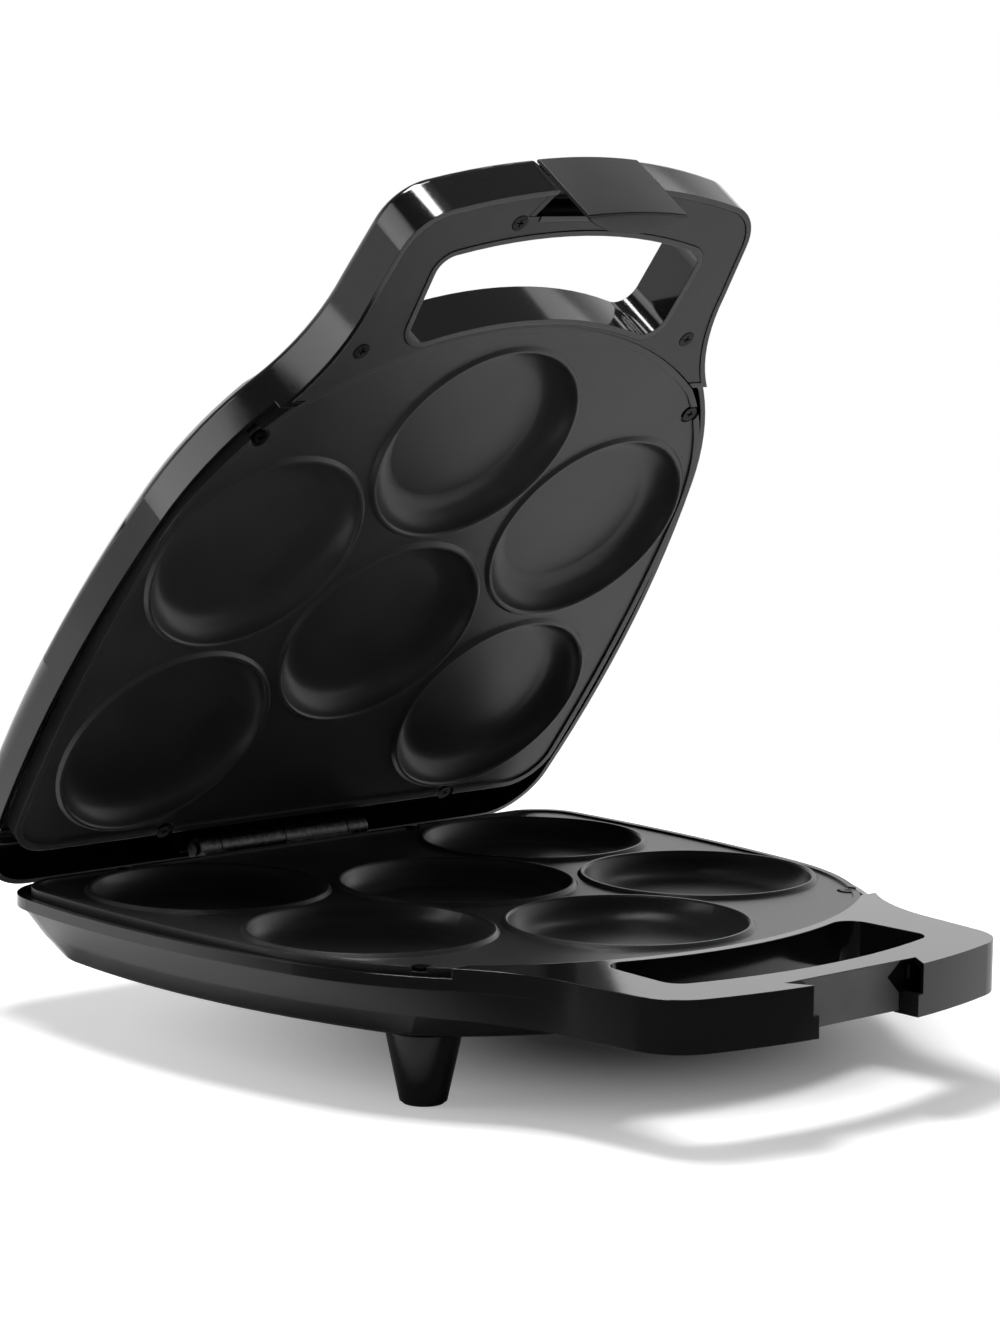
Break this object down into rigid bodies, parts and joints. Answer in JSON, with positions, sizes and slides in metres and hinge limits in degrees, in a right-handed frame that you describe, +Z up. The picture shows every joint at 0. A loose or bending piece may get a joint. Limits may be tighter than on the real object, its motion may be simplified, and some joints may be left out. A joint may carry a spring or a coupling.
{
  "type": "arepa maker",
  "caption": "Hinged countertop maker for round corn cakes: two flat wide shells with round wells, looped front handles, a clip latch and tapered feet.",
  "frame": {"origin": "on the table, under the middle of the outline with the lid open as pictured", "axes": "+Z up, +Y from the handles to the hinge, +X to the right seen from the handles"},
  "size_m": [0.3258, 0.3888, 0.3681],
  "materials": {
    "gloss_housing": "moulded, glossy black",
    "matt_handle": "fine matt black",
    "nonstick_plate": "cast, dark non-stick coat",
    "steel_fastener": "blackened",
    "hinge_steel": "black oxide",
    "heater_sheath": "oxidised tube",
    "bright_tray": "bright sheet",
    "black_rubber": "moulded",
    "red_lens": "clear tinted",
    "green_lens": "clear tinted",
    "terminal_plastic": "moulded",
    "heat_control_metal": "pressed"
  },
  "bodies": {
    "base": {"base_casing": "gloss_housing", "base_handle_cover": "matt_handle", "base_plate": "nonstick_plate", "base_heating_element": "heater_sheath", "base_reflector": "bright_tray", "base_plate_screws": "steel_fastener", "base_handle_screws": "steel_fastener", "base_hinge_leaf": "hinge_steel", "hinge_pin": "steel_fastener", "foot_front_left": "gloss_housing", "foot_front_right": "gloss_housing", "foot_rear_left": "gloss_housing", "foot_rear_right": "gloss_housing", "foot_pads": "black_rubber", "foot_screws": "steel_fastener", "thermostat": "heat_control_metal", "thermal_fuse": "heat_control_metal", "terminal_block": "terminal_plastic", "cable_gland": "black_rubber"},
    "lid": {"lid_casing": "gloss_housing", "lid_handle_cover": "matt_handle", "lid_plate": "nonstick_plate", "lid_heating_element": "heater_sheath", "lid_reflector": "bright_tray", "lid_plate_screws": "steel_fastener", "lid_handle_screws": "steel_fastener", "lid_hinge_leaf": "hinge_steel", "latch_pin": "steel_fastener", "power_lamp": "red_lens", "ready_lamp": "green_lens"},
    "latch": {"latch": "matt_handle"}
  },
  "joints": [
    {"name": "lid_hinge", "type": "hinge", "parent": "base", "child": "lid", "pos_m": [0, 0.17, 0.06], "axis": [-1, 0, 0], "range_deg": [-54.2, 50]},
    {"name": "latch_pivot", "type": "hinge", "parent": "lid", "child": "latch", "pos_m": [0, -0.0263, 0.35612], "axis": [-1, 0, 0], "range_deg": [0, 60]}
  ]
}
